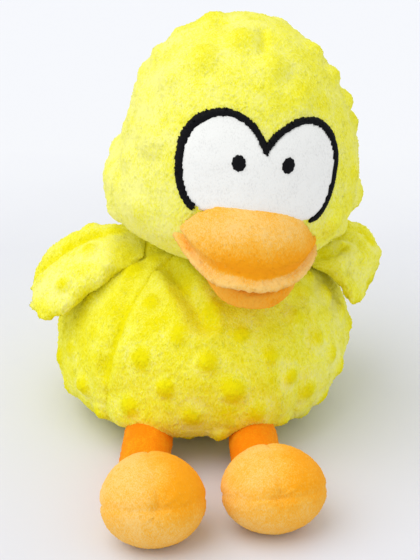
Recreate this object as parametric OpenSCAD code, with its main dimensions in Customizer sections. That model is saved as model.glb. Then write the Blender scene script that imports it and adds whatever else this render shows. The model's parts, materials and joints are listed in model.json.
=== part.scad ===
// Stuffed plush duck sitting with its legs out in front, in mm.
// Front is -Y, the duck's left is +X, up is +Z; the origin is the middle of the flat base on the floor.

/* [Body] */
// Width across the stuffed body
body_w = 117; // [105:1:130]
// Height of the body before the dish for the head is taken out
body_h = 72; // [66:1:80]
// Height of the widest place
body_mid = 26; // [24:1:32]
// Width of the flat base
base_w = 50; // [42:1:62]
// Fullness of the lower half, 2 being an ellipse
body_low = 2.8; // [2.2:0.1:3.4]
// Fullness of the upper half
body_top = 2.2; // [2:0.1:2.8]
// Half the angle that the front panel covers
front_half = 40; // [34:1:55]

/* [Head] */
// Radius of the round underside, about the neck pivot
head_cap = 46; // [42:0.5:49]
// How far the cheeks swell past that radius
cheek_out = 7; // [3:0.5:8]
// How far the temples draw in
temple_in = 1.5; // [0:0.5:3]
// How far the crown rises past that radius
crown_up = 5.5; // [2:0.5:9]
// How far the head sinks into the top of the body
neck_sink = 6; // [5:0.5:8]
// How far the head has slumped to its left
head_shift = 10.5; // [0:0.5:12]
// Lean of the head to its left
head_lean = 6; // [0:1:10]
// Half the angle that the face panel covers
face_half = 100; // [80:1:120]
// Thickness of the thread that closes the neck
thread_d = 1.4; // [1:0.1:1.6]

/* [Face] */
// Turn of the face to its left
face_turn = 13.5; // [0:0.5:20]
// Lean of the face to its left
face_lean = 13; // [0:1:16]
// Height of the eye lobes' centres above the neck pivot
eye_z = 8; // [5:0.5:12]
// Sideways place of each eye lobe's centre
eye_x = 14; // [12:0.5:16]
// Width of an eye lobe
eye_w = 31; // [30:0.5:36]
// Height of an eye lobe
eye_h = 35; // [30:0.5:40]
// Width of the satin-stitched outline
outline_w = 3; // [2:0.1:4]
// Thickness of the white patch
patch_t = 0.8; // [0.6:0.1:1.5]
// Width of a pupil
pupil_w = 4.8; // [3:0.1:7]
// Height of a pupil
pupil_h = 5.4; // [3:0.1:8]
// Sideways place of each pupil
pupil_x = 9.3; // [7:0.1:12]
// How far both pupils look to the duck's right
pupil_look = 1.6; // [0:0.1:3]
// Height of the pupils above the neck pivot
pupil_z = 12; // [8:0.5:16]

/* [Bill] */
// Width of the upper bill across the lip
bill_w = 56; // [50:1:62]
// Height of its dome above the lip
bill_dome = 26.5; // [20:0.5:30]
// Fullness of the dome, 2 being an ellipse
bill_full = 2.6; // [2:0.1:4]
// Width of the padded lip
lip_w = 4.5; // [4:0.25:6]
// Depth of the topstitched groove beside the lip
groove = 1; // [0.5:0.1:1.5]
// How far in front of the neck pivot the bill's middle sits
bill_front = 37; // [34:0.5:40]
// How far below the neck pivot the lip sits
bill_drop = 28; // [25:0.5:31]
// Downward slope of the upper bill
bill_pitch = 13; // [6:1:18]
// Width of the lower bill
lower_w = 46; // [40:1:48]
// Depth of the lower bill
lower_deep = 6; // [4:0.5:8]
// How far the lower bill hangs open at rest
lower_droop = 4; // [3:0.5:8]

/* [Wings] */
// Distance of the right wing's seam from the body's middle
root_right = 28.5; // [26:0.5:36]
// Distance of the left wing's seam, pushed out under the slumped head
root_left = 39; // [36:0.5:44]
// Length of the right wing along its curve
len_right = 46; // [38:1:50]
// Length of the left wing, which is crumpled up
len_left = 32; // [28:1:38]
// Greatest width of the right wing
width_right = 36; // [28:1:40]
// Greatest width of the left wing
width_left = 33; // [24:1:36]
// Greatest thickness of a wing
wing_t = 9; // [6:0.5:11]
// Droop of the wing where it is sewn on
wing_start = 6; // [0:1:15]
// Angle by which the right wing is lifted off the side
raise_right = 2.5; // [0:0.5:8]
// Angle by which the left wing is lifted off the side
raise_left = 6; // [4:0.5:14]
// Twist towards the tip, front edge down
wing_twist = 28; // [0:1:35]
// Further droop towards the tip
wing_curl = 40; // [20:1:50]

/* [Legs] */
// Diameter of a leg
leg_d = 17.5; // [15:0.5:20]
// Distance between the hips
hip_gap = 40; // [36:1:46]
// How far both legs sit to the duck's right
hip_shift = 2; // [0:0.5:4]
// Height of the hips
hip_z = 10.5; // [9:0.5:13]
// Reach of the right leg from hip to ankle, over the floor
reach_right = 30; // [27:1:40]
// Reach of the left leg
reach_left = 24; // [22:1:36]
// Outward splay of the legs
leg_splay = 4.5; // [0:0.5:10]
// Diameter of a foot
foot_d = 38; // [34:0.5:42]
// Length of a foot from heel to toe
foot_len = 40; // [36:1:46]
// Upward tilt of the toes
toe_up = 22; // [16:1:30]
// Turn of the toes to the duck's left
foot_turn = 10; // [0:1:15]
// How much the ball of the foot flattens on the floor
foot_flat = 2.4; // [1:0.1:4]

/* [Making] */
// Thickness of the plush cloth
cloth = 2; // [1.2:0.1:2.6]
// Clearance between stuffing and cloth, and at seams
ease = 0.3; // [0.2:0.05:0.5]
// Gap between the head and the body that the neck thread lies in
neck_gap = 2.3; // [2:0.1:2.8]
// Clearance around the hip and ankle ends
ball_gap = 0.4; // [0.3:0.05:0.6]

/* [Hidden] */
$fn = 64;
steps = 12;
// Radius of the small hole where gathered cloth closes
gather = 1.5;
wide = body_w / 2;
base_r = base_w / 2;
tall = body_mid / pow(1 - pow(base_r / wide, body_low), 1 / body_low);
rise = body_h - body_mid;
head_c = [head_shift, 0, body_h - neck_sink + head_cap];
leg_r = leg_d / 2;
foot_r = foot_d / 2;
foot_half = foot_len / 2;
heel = foot_half - leg_r * 0.1;
// Share of the leg's radius by which the hip stands out of the body
hip_proud = 0.4;
// Angle left open between two panels of one form
seam_deg = 1;
// Lift of each layer of the eye over what is under it
eye_lift = 0.15;
bill_gap = 0.3;
lower_gap = 1.4;
// Angles up from straight down between which the cheeks swell and the temples draw in
cheek_span = [28, 95];
temple_span = [84, 150];
crown_from = 120;
// Part of the head that the eye layers are cut from
layer_span = [70, 140];
layer_half = 80;

yellow = [0.95, 0.9, 0.2];
orange = [1, 0.66, 0.24];
white = [0.95, 0.95, 0.93];
black = [0.08, 0.08, 0.1];
fibre = [0.93, 0.93, 0.9];

// Which node to draw

// Half width of the body at height z, with the skin taken off
function body_r(z, skin = 0) = z < body_mid
    ? (wide - skin) * pow(max(0, 1 - pow((body_mid - z) / (tall - skin), body_low)), 1 / body_low)
    : (wide - skin) * pow(max(0, 1 - pow((z - body_mid) / (rise - skin), body_top)), 1 / body_top);

// Height of the upper half of the body at radius r
function body_z(r) = body_mid + rise * pow(max(0, 1 - pow(r / wide, body_top)), 1 / body_top);

// Body outline from a floor height up to the top, skin taken off
function body_edge(from_z, skin) = let (
        low = tall - skin,
        high = rise - skin,
        a0 = asin(pow((body_mid - from_z) / low, body_low / 2)))
    concat(
        [for (i = [0:steps]) let (a = a0 * (1 - i / steps))
            [(wide - skin) * pow(cos(a), 2 / body_low), body_mid - low * pow(sin(a), 2 / body_low)]],
        [for (i = [1:steps]) let (a = 90 * i / steps)
            [(wide - skin) * pow(max(0, cos(a)), 2 / body_top), body_mid + high * pow(sin(a), 2 / body_top)]]);

function turned(p) = [for (i = [len(p) - 1:-1:0]) p[i]];

// A smooth hump from 0 up to 1 and back between two angles
function hump(t, span) = t > span[0] && t < span[1]
    ? pow(sin(180 * (t - span[0]) / (span[1] - span[0])), 2)
    : 0;

// Distance of the head's skin from the neck pivot, t degrees up from straight down
function head_r(t) = head_cap + cheek_out * hump(t, cheek_span) - temple_in * hump(t, temple_span)
    + crown_up * pow(max(0, (t - crown_from) / (180 - crown_from)), 2);

function head_edge(lift, t0, t1, n) = [for (i = [0:n]) let (t = t0 + (t1 - t0) * i / n, r = head_r(t) + lift)
    [max(0, r * sin(t)), -r * cos(t)]];

// Turns a shape of revolution so that it covers half degrees on both sides of the front
module wedge(half, mid = 0) rotate([0, 0, mid - 90 - half]) rotate_extrude(angle = 2 * half) children();

module on_head() translate(head_c) rotate([0, head_lean, 0]) children();
module on_face() translate(head_c) rotate([0, face_lean, 0]) rotate([0, 0, face_turn]) children();

function reach(side) = side < 0 ? reach_right : reach_left;

// Hip, ankle and foot places follow from the body's outline and the leg's reach
hip_out = body_r(hip_z) + leg_r * hip_proud;
function hip(side) = let (x = side * hip_gap / 2 - hip_shift) [x, -sqrt(hip_out * hip_out - x * x), hip_z];
foot_z = foot_r - foot_flat;
ankle_z = foot_z - heel * sin(toe_up);
function ankle(side) = let (h = hip(side))
    [h[0] + side * reach(side) * sin(leg_splay), h[1] - reach(side) * cos(leg_splay), ankle_z];

module body_cuts() {
    translate(head_c) sphere(head_cap + neck_gap, $fn = 96);
    for (side = [-1, 1]) translate(hip(side)) sphere(leg_r + ball_gap);
}

module body_shell() polygon(concat(body_edge(0, 0), turned(body_edge(cloth, cloth))));

module body_panel(half, mid) color(yellow) difference() {
    wedge(half, mid) body_shell();
    body_cuts();
}

module body_front_panel() body_panel(front_half - seam_deg / 4, 0);

module body_side_panel(side) body_panel((180 - front_half) / 2 - seam_deg / 4, side * (180 + front_half) / 2);

module body_base_panel() color(yellow) cylinder(r = body_r(cloth, cloth) - ease, h = cloth);

module body_stuffing() color(fibre) difference() {
    rotate_extrude() polygon(concat([[0, cloth + ease]], body_edge(cloth + ease, cloth + ease)));
    body_cuts();
}

neck_at = 15;
neck_mid = head_cap + neck_gap / 2;

module neck_seam() color(fibre) on_head() translate([0, 0, -neck_mid * cos(neck_at)])
    rotate_extrude() translate([neck_mid * sin(neck_at), 0]) circle(d = thread_d, $fn = 24);

head_t0 = asin(gather / head_cap);

module head_shell() polygon(concat(head_edge(0, head_t0, 180, 2 * steps),
    turned(head_edge(-cloth, head_t0, 180, 2 * steps))));

module head_front_panel() color(yellow) on_head() wedge(face_half - seam_deg / 4, face_turn) head_shell();

module head_back_panel() color(yellow) on_head()
    wedge(180 - face_half - seam_deg / 4, face_turn + 180) head_shell();

module head_stuffing() color(fibre) on_head() rotate_extrude()
    polygon(head_edge(-cloth - ease, 0, 180, 2 * steps));

// Head form grown by a gap, for cutting the bill
module head_block(lift) on_head() rotate_extrude() polygon(head_edge(lift, 0, 180, 2 * steps));

// A layer that lies on the head between two heights, over the face only
module head_layer(low, high) on_head() wedge(layer_half, face_turn)
    polygon(concat(head_edge(high, layer_span[0], layer_span[1], steps),
        turned(head_edge(low, layer_span[0], layer_span[1], steps))));

// How far below level the lobes run before the bill hides them
eye_tail = 72;

// Heart-topped outline of the two eye lobes, moved out or in by grow
function eye_edge(grow) = let (
        a = eye_w / 2 + grow,
        b = eye_h / 2 + grow,
        notch = acos(min(1, eye_x / a)),
        sweep = 180 + eye_tail - notch,
        n = 20)
    concat(
        [for (i = [0:n]) let (t = notch + sweep * (1 - i / n)) [-eye_x + a * cos(t), eye_z + b * sin(t)]],
        [for (i = [1:n]) let (t = 180 - notch - sweep * i / n) [eye_x + a * cos(t), eye_z + b * sin(t)]]);

module face_prism() on_face() rotate([90, 0, 0]) linear_extrude(head_cap * 2) children();

outline_in = -outline_w * 0.4;
outline_out = outline_w * 0.6;

// Room that the bill takes where it is sewn over the eyes
module bill_room() on_bill() rotate_extrude() polygon(concat(bill_top(-2 * bill_gap), [[0, 0]]));

module eye_patch() color(white) difference() {
    intersection() {
        head_layer(eye_lift, eye_lift + patch_t);
        face_prism() polygon(eye_edge(outline_in - eye_lift));
    }
    bill_room();
}

module eye_outline() color(black) difference() {
    intersection() {
        head_layer(eye_lift, eye_lift + patch_t * 1.5);
        face_prism() polygon(concat(eye_edge(outline_out), turned(eye_edge(outline_in))));
    }
    bill_room();
}

module pupil(side) color(black) intersection() {
    head_layer(patch_t + 2 * eye_lift, patch_t * 2 + 2 * eye_lift);
    face_prism() polygon([for (i = [0:23])
        [side * pupil_x - pupil_look + pupil_w / 2 * cos(15 * i), pupil_z + pupil_h / 2 * sin(15 * i)]]);
}

bill_r = bill_w / 2;
lip_h = lip_w / 2;

module on_bill() on_face() translate([0, -bill_front, -bill_drop]) rotate([bill_pitch, 0, 0]) children();

// Point on the round of the padded lip
function lip_point(a, skin) = let (r = lip_h - skin / 2) [bill_r - lip_h + r * cos(a), r * sin(a)];

// Angle over which the dome runs down to the groove
dome_end = 87;

// Dome, groove and half of the padded lip, skin taken off
function bill_top(skin) = concat(
    [for (i = [0:steps]) let (a = 90 - dome_end * i / steps)
        [(bill_r - lip_w - skin) * pow(cos(a), 2 / bill_full),
            lip_h - groove - skin + (bill_dome - lip_h + groove) * pow(sin(a), 2 / bill_full)]],
    [for (i = [1:5]) lip_point(135 - 27 * i, skin)]);

// The flat underside, from just below the lip's seam to the middle
function bill_under(skin) = concat(
    [for (i = [0:4]) lip_point(-18 - 18 * i, skin)],
    [[0, -lip_h + skin / 2]]);

module bill_cut() difference() {
    on_bill() rotate([0, 0, -90]) rotate_extrude() children();
    head_block(bill_gap);
}

module bill_upper_top_panel() color(orange) bill_cut()
    polygon(concat(bill_top(0), turned(bill_top(cloth))));

module bill_upper_under_panel() color(orange) bill_cut()
    polygon(concat(bill_under(0), turned(bill_under(cloth))));

module bill_upper_stuffing() color(fibre) bill_cut()
    polygon(concat(bill_top(cloth + 2 * ease), [[0, ease + cloth / 2 - lip_h]]));

lower_r = lower_w / 2;
// How far behind the bill's middle the lower bill is sewn on
hinge_back = 3;
// Room above the lower bill for it to swing under the upper one
hinge_gap = 0.35;
hinge_drop = lip_h + hinge_gap;
hinge = [0, -bill_front + hinge_back * cos(bill_pitch) + hinge_drop * sin(bill_pitch),
    -bill_drop + hinge_back * sin(bill_pitch) - hinge_drop * cos(bill_pitch)];

module on_lower() on_face() translate(hinge) rotate([bill_pitch + lower_droop, 0, 0])
    translate([0, -hinge_back, 0]) children();

module lower_cut() difference() {
    on_lower() rotate_extrude() children();
    head_block(lower_gap);
}

lower_half_t = cloth * 0.4;

module bill_lower_top_panel() color(orange) lower_cut() polygon(concat(
    [[0, -2 * lower_half_t]],
    [for (i = [0:4]) let (a = -90 + 45 * i)
        [lower_r + lower_half_t * (cos(a) - 1), lower_half_t * (sin(a) - 1)]],
    [[0, 0]]));

lower_bed = 2 * lower_half_t + ease;

module bill_lower_under_panel() color(orange) lower_cut() polygon(concat(
    [[0, -lower_bed]],
    [for (i = [0:8]) let (a = 90 * i / 8)
        [lower_r * cos(a), -lower_bed - (lower_deep - lower_bed) * sin(a)]]));

// Wing: stations run outwards along a drooping arc, columns run across from front to back
wing_n = 10;
wing_m = 8;
// Angle by which the right wing stands forward of the side, and the left wing behind it
wing_fore = 5;
wing_aft = 10;
// Half thickness of a wing along its seamed edge
wing_edge = 1.2;
// Height of the fold along a wing's middle
wing_ridge = 2;
// Where along its length a wing is widest, and its share of that width at the seam and at the tip
wing_full = 0.6;
wing_seam = 0.72;
wing_tip = 0.2;
wing_off = wing_edge + 0.8;

function wing_root(side) = side < 0 ? root_right : root_left;
function arc_r(side) = (side < 0 ? len_right : len_left) / (wing_curl * PI / 180);
function wing_slope(s) = wing_start + wing_curl * s;
function wing_half(side, s) = (side < 0 ? width_right : width_left) / 2 * (s < wing_full
    ? wing_seam + (1 - wing_seam) * sin(90 * s / wing_full)
    : sqrt(1 - (1 - wing_tip * wing_tip) * pow((s - wing_full) / (1 - wing_full), 2)));
function wing_thick(s, v) = wing_edge + (wing_t / 2 - wing_edge) * sin(180 * pow(s, 0.7)) * (1 - v * v);
function wing_mid(side, s, v) = [
    arc_r(side) * (sin(wing_slope(s)) - sin(wing_start)),
    wing_half(side, s) * v * cos(wing_twist * s),
    arc_r(side) * (cos(wing_slope(s)) - cos(wing_start)) + wing_ridge * sin(180 * s) * (1 - 2 * abs(v))
        + wing_half(side, s) * v * sin(wing_twist * s)];
function wing_point(side, s, v, off) = let (p = wing_mid(side, s, v), a = wing_slope(s))
    [p[0] + off * sin(a), p[1], p[2] + off * cos(a)];

function grid_faces(n, m, base, flip) = [for (i = [0:n - 1]) for (j = [0:m - 1]) let (
        a = base + i * (m + 1) + j, b = a + 1, c = a + m + 1, d = c + 1)
    each flip ? [[a, b, c], [b, d, c]] : [[a, c, b], [b, c, d]]];

// Triangles that close the rim between an outer and an inner grid
function rim_faces(n, m, q) = let (loop = concat(
        [for (j = [0:m]) j],
        [for (i = [1:n]) i * (m + 1) + m],
        [for (j = [m - 1:-1:0]) n * (m + 1) + j],
        [for (i = [n - 1:-1:1]) i * (m + 1)]), k = len(loop))
    [for (i = [0:k - 1]) let (a = loop[i], b = loop[(i + 1) % k]) each [[a, b, b + q], [a, b + q, a + q]]];

// One cloth half of a wing: up is 1 for the top panel and -1 for the under panel
module wing_panel(side, up) {
    q = (wing_n + 1) * (wing_m + 1);
    grid = [for (i = [0:wing_n]) for (j = [0:wing_m]) [i / wing_n, -1 + 2 * j / wing_m]];
    outer = [for (g = grid) wing_point(side, g[0], g[1], up * wing_thick(g[0], g[1]))];
    inner = [for (g = grid) wing_point(side, g[0], g[1], up * ease / 2)];
    faces = concat(grid_faces(wing_n, wing_m, 0, up > 0), grid_faces(wing_n, wing_m, q, up < 0),
        [for (f = rim_faces(wing_n, wing_m, q)) up < 0 ? [f[0], f[1], f[2]] : [f[2], f[1], f[0]]]);
    polyhedron(concat(outer, inner), faces);
}

module on_wing(side) mirror([side < 0 ? 1 : 0, 0, 0]) rotate([0, 0, side < 0 ? -wing_fore : wing_aft])
    translate([wing_root(side), 0, body_z(wing_root(side)) + wing_off])
    rotate([0, side < 0 ? -raise_right : -raise_left, 0]) children();

module wing_top_panel(side) color(yellow) on_wing(side) wing_panel(side, 1);
module wing_under_panel(side) color(yellow) on_wing(side) wing_panel(side, -1);

// Stands a shape made along Z between two points
module along(a, b) {
    d = b - a;
    translate(a) rotate([0, acos(d[2] / norm(d)), atan2(d[1], d[0])]) children();
}

// Leg outline between two ball ends, pinched beside each end and swelling in the middle
pinch_at = 128;
function leg_edge(len, r, hole) = let (
        a0 = asin(hole / r),
        neck = r * sin(pinch_at),
        from = -r * cos(pinch_at),
        run = len - 2 * from)
    concat(
        [for (i = [0:8]) let (a = a0 + (pinch_at - a0) * i / 8) [r * sin(a), -r * cos(a)]],
        [for (i = [1:5]) [neck + (r - neck) * sin(30 * i), from + run * i / 6]],
        [for (i = [0:8]) let (a = pinch_at - (pinch_at - a0) * i / 8) [r * sin(a), len + r * cos(a)]]);

module leg_cover(side) color(orange) along(hip(side), ankle(side)) let (len = norm(ankle(side) - hip(side)))
    rotate_extrude()
    polygon(concat(leg_edge(len, leg_r, gather), turned(leg_edge(len, leg_r - cloth, gather))));

module leg_stuffing(side) color(fibre) along(hip(side), ankle(side)) let (len = norm(ankle(side) - hip(side)))
    rotate_extrude() polygon(leg_edge(len, leg_r - cloth - ease, 0));

// Egg-shaped foot, fuller at the toe by a small share, along Z from heel to toe
toe_full = 0.06;
function foot_edge(skin, hole) = [for (i = [0:2 * steps]) let (t = 180 * i / (2 * steps),
        r = (foot_r - skin) * (1 - toe_full * cos(t)) * sin(t))
    [max(hole, r), -(foot_half - skin) * cos(t)]];

module on_foot(side) translate(ankle(side)) rotate([0, 0, foot_turn]) rotate([90 - toe_up, 0, 0])
    translate([0, 0, heel]) children();

// Takes away the ankle's ball and all that lies below a floor height
module foot_cut(side, floor_z = 0) difference() {
    on_foot(side) children();
    translate(ankle(side)) sphere(leg_r + ball_gap);
    translate([0, ankle(side)[1] - heel, floor_z - foot_d]) linear_extrude(foot_d)
        square([2 * body_w, 3 * foot_len], center = true);
}

module foot_shell() polygon(concat(foot_edge(0, gather / 2), turned(foot_edge(cloth, gather / 2))));

// Panels meet in seams that run from the toe: from and sweep are angles about the toe line
module foot_panel(side, from, sweep) color(orange) foot_cut(side)
    rotate([0, 0, from + seam_deg / 2]) rotate_extrude(angle = sweep - seam_deg) foot_shell();

module foot_upper_inner(side) foot_panel(side, side < 0 ? 0 : 90, 90);
module foot_upper_outer(side) foot_panel(side, side < 0 ? 90 : 0, 90);
module foot_sole(side) foot_panel(side, 180, 180);

module foot_stuffing(side) color(fibre) foot_cut(side, cloth + ease)
    rotate_extrude() polygon(foot_edge(cloth + ease, 0));

body_front_panel();
body_side_panel(1);  // body_side_panel_left
body_side_panel(-1);  // body_side_panel_right
body_base_panel();
body_stuffing();
neck_seam();
head_front_panel();
head_back_panel();
head_stuffing();
eye_patch();
eye_outline();
pupil(1);  // pupil_left
pupil(-1);  // pupil_right
bill_upper_top_panel();
bill_upper_under_panel();
bill_upper_stuffing();
bill_lower_top_panel();
bill_lower_under_panel();
wing_top_panel(1);  // wing_left_top_panel
wing_under_panel(1);  // wing_left_under_panel
wing_top_panel(-1);  // wing_right_top_panel
wing_under_panel(-1);  // wing_right_under_panel
leg_cover(1);  // leg_left_cover
leg_stuffing(1);  // leg_left_stuffing
leg_cover(-1);  // leg_right_cover
leg_stuffing(-1);  // leg_right_stuffing
foot_upper_inner(1);  // foot_left_upper_inner
foot_upper_outer(1);  // foot_left_upper_outer
foot_sole(1);  // foot_left_sole
foot_stuffing(1);  // foot_left_stuffing
foot_upper_inner(-1);  // foot_right_upper_inner
foot_upper_outer(-1);  // foot_right_upper_outer
foot_sole(-1);  // foot_right_sole
foot_stuffing(-1);  // foot_right_stuffing
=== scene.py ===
"""Stuffed plush duck: the soft pieces, their stitching and the stage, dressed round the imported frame."""

import json
import math

import bmesh
import bpy
import numpy as np
from bpy.props import FloatProperty, FloatVectorProperty, IntProperty, PointerProperty
from mathutils import Matrix, Vector, noise
from mathutils.bvhtree import BVHTree


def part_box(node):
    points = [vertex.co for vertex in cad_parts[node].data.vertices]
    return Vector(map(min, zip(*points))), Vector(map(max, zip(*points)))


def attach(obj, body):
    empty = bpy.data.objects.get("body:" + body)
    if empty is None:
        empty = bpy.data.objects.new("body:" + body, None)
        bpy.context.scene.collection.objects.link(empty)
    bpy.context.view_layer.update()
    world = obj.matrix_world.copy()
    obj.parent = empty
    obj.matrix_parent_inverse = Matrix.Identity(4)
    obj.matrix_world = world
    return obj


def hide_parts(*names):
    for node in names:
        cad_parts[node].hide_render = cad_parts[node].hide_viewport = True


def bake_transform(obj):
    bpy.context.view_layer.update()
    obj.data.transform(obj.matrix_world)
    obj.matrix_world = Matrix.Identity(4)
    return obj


bl_info = {
    "name": "Plush duck",
    "version": (1, 0, 0),
    "blender": (4, 5, 0),
    "location": "View3D > Sidebar > Plush duck",
    "description": "Dresses the packed duck in stuffed plush, embroidery and seams",
    "category": "Object",
}

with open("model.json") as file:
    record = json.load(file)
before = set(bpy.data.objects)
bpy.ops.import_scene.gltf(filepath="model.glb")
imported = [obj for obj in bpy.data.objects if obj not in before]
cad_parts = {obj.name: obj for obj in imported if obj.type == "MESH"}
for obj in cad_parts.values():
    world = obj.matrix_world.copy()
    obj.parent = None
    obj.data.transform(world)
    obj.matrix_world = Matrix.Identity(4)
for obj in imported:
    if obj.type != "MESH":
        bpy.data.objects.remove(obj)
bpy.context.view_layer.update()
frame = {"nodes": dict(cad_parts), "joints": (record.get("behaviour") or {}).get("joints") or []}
MM = 0.001
JOINTS = {j["name"]: j for j in frame["joints"]}
SIDES = ((1, "left"), (-1, "right"))


def joint_at(name):
    """Where a joint is, in mm."""
    return np.array(JOINTS[name]["pos_m"]) / MM


# Frames of the soft forms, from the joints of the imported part
HEAD_PIVOT = joint_at("head_turn")
HEAD_UP = np.array(JOINTS["head_turn"]["axis"])
FACE_X = np.array(JOINTS["bill_open"]["axis"])
FACE_Z = np.array([-FACE_X[2], 0.0, FACE_X[0]]) / math.hypot(FACE_X[2], FACE_X[0])
FACE_Y = np.cross(FACE_Z, FACE_X)

# Hollows of the stuffed cloth: place, reach and depth in mm, where a depth below 0 stands out
BODY_HOLLOWS = {
    "between the legs": ((2, -50, 6), (40, 16, 9), 3.5),
    "dish under the head": ((4, 4, 66), (24, 26, 9), 2.4),
}
HEAD_HOLLOWS = {
    "over the right temple": ((-36, 4, 126), (20, 26, 10), 3.0),
    "right temple": ((-41, 6, 114), (18, 30, 9), 5.5),
    "under the right temple": ((-44, 4, 104), (20, 30, 10), 1.8),
    "full right cheek": ((-46, 4, 88), (18, 28, 12), -2.2),
    "right of the crown": ((-28, 2, 143), (16, 30, 14), 2.2),
    "crown": ((4, 6, 163), (26, 30, 10), 1.8),
}
LEFT_WING_HOLLOW = ((46, 2, 73), (9, 8, 7), 2.8)

# Folds of the cloth: points along each, its depth and width and the bulge beside it, in mm
UNDER_BILL = [(-13, -22, 68.5), (-10.6, -27, 66.8), (-7, -35, 64), (-3.5, -41, 60), (-1, -45, 56)]
BODY_FOLDS = {
    "under the bill": (UNDER_BILL, 4.2, 3.0, 1.8),
    "by the right wing": ([(-28, -24, 62), (-30, -33, 58), (-33, -40, 50), (-38, -43, 36)], 0.9, 2.6, 0.8),
    "by the left wing": ([(34, -26, 58), (37, -34, 50), (38, -40, 42)], 1.0, 3.0, 0.6),
}
CROWN_DART = ([(21.8, -7.5, 161), (21.6, -12, 158.5), (21.4, -17, 156)], 1.3, 1.6)

# Creases of the crumpled left wing, in plan
CRUMPLES = [[(45, -7), (50, -6), (55, -3)], [(51, 4), (56, 2), (60, -1)]]

# How each wing hangs: its tip up, its front and back edges down and the front edge forwards, in mm
WING_SET = {"left": (2.0, 5.8, 3.0, 12.0), "right": (-3.0, 1.5, 0.0, 6.0)}

# The bill's frame on the face and its round, in mm
BILL_FRONT, BILL_DROP, BILL_PITCH = 37.0, 28.0, math.radians(13)
BILL_R, LIP_W = 28.0, 4.5
DOME_R = BILL_R - LIP_W

# How far the corners of the bill turn up, in mm, and the dome spreads, on the duck's right and left
UPPER_CORNERS, LOWER_CORNERS = (5.0, 2.9), (4.2, 3.2)
DOME_SPREAD = (0.24, 0.13)

# How far the eyes, and the notch between them, were sewn towards the duck's right
EYES_ASIDE, NOTCH_ASIDE = 0.9, 1.5

# How far across and up each pupil was sewn from its solid's place
PUPIL_NUDGE = {"left": (-1.1, 0.4), "right": (-0.5, -1.3)}

# Half a foot's length, how far its ankle seam lies inside it, and its turn and tilt
FOOT_HALF, ANKLE_IN = 20.0, 0.875
FOOT_TURN, FOOT_TILT = math.radians(10), math.radians(68)

# How much of its height each foot lost in use, and where it came to rest
FOOT_SETTLED = {"left": (0.15, (0.8, 4.0, 0)), "right": (0.09, (1.8, 0, 0))}

# Where the camera looks, in mm, and the way that the soft light falls
CAMERA_AIM = (1.54, -18, 61)
LIGHT_WAY = (0.52, 0.14, -1.0)

# The cloth is simulated larger than it is, where Blender's units suit it better
SIM_SCALE = 10.0

# Where rays start, in mm: over and under the wings, and in front of the face
WING_OVER, WING_UNDER, FACE_AHEAD = 140.0, -20.0, -120.0

# How far the eye patch stands over the head's cloth, and how near cloth comes to the floor, in mm
PATCH_HEIGHT = 0.75
FLOOR_GAP = 0.15


def linear(red, green, blue):
    """A colour written as it shows on screen, 0 to 255, as Blender's own light values."""
    shown = [c / 255 for c in (red, green, blue)]
    return tuple(c / 12.92 if c < 0.04045 else ((c + 0.055) / 1.055) ** 2.4 for c in shown)


def length(name, text, mm):
    """A length that a user may set, given in mm."""
    return FloatProperty(
        name=name, description=text, default=mm * MM, unit="LENGTH", subtype="DISTANCE", precision=4
    )


def colour(name, text, shown):
    """A colour that a user may set, given as it shows on screen."""
    return FloatVectorProperty(
        name=name, description=text, default=linear(*shown), subtype="COLOR", min=0, max=1
    )


def turn(name, text, degrees):
    """An angle that a user may set."""
    return FloatProperty(
        name=name, description=text, default=math.radians(degrees), unit="ROTATION", subtype="ANGLE"
    )


class MinkySettings(bpy.types.PropertyGroup):
    """The yellow dimple-dot cloth."""

    pale: colour("Pale pile", "Tips of the pile where it lies towards the light", (253, 250, 140))
    middle: colour("Pile", "The cloth's own yellow", (250, 246, 76))
    deep: colour("Deep pile", "Where one looks down between the fibres", (243, 233, 2))
    dot_width: length("Dot width", "Width of a raised dot", 7.8)
    dot_height: length("Dot height", "How far a dot stands up", 1.45)
    body_row: length("Body dot pitch", "Distance of dots along a row of the body", 25.1)
    head_row: length("Head dot pitch", "Distance of dots along a row of the head", 27.9)
    wing_row: length("Wing dot pitch", "Distance of dots along a row of a wing", 19.0)


class PlushSettings(bpy.types.PropertyGroup):
    """The orange plush of bill, legs and feet."""

    pale: colour("Pale pile", "Brushed pile", (254, 208, 122))
    middle: colour("Pile", "The plush's own orange", (254, 188, 66))
    deep: colour("Deep pile", "Pile that lies the other way", (255, 168, 20))
    # The deepest pile is painted shade, for the legs and lower bill that lie in shade
    shade: colour("Deepest pile", "Pile of legs and lower bill, brushed away from the light", (252, 138, 2))
    seam_depth: length("Seam depth", "How deep a sewn seam sinks", 0.8)
    groove_depth: length("Groove depth", "How deep the topstitched line beside the lip sinks", 1.9)


class FaceSettings(bpy.types.PropertyGroup):
    """The appliqued eyes."""

    white: colour("Eye patch", "White short pile", (246, 246, 241))
    black: colour("Embroidery", "Black satin thread", (5, 5, 8))
    lobe_x: length("Lobe place", "Sideways place of each eye lobe", 14)
    lobe_z: length("Lobe height place", "Height of the lobes above the neck pivot", 8)
    lobe_w: length("Lobe width", "Width of an eye lobe", 31)
    lobe_h: length("Lobe height", "Height of an eye lobe", 35)
    outline_w: length("Outline width", "Length of a satin stitch across the outline", 2.5)
    stitch: length("Stitch", "Distance from one satin stitch to the next", 0.55)
    pupil_w: length("Pupil width", "Width of a pupil", 4.9)
    pupil_h: length("Pupil height", "Height of a pupil", 5.6)


class StageSettings(bpy.types.PropertyGroup):
    """Floor, light and camera."""

    # The floor is painted lighter from front to back: painted light
    near: colour("Near floor", "Pale floor in front", (223, 224, 230))
    far: colour("Far floor", "Pale floor behind", (232, 233, 236))
    sun: FloatProperty(name="Light", description="Strength of the light from the upper left", default=1.2)
    glow: FloatProperty(name="Room light", description="Strength of the light from all round", default=0.84)
    elevation: turn("Elevation", "How far the camera looks down", 28)
    distance: length("Distance", "From the camera to the point that it looks at", 800)
    lens: FloatProperty(name="Lens", description="Focal length, 36 mm frame", default=133.6, unit="CAMERA")


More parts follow.
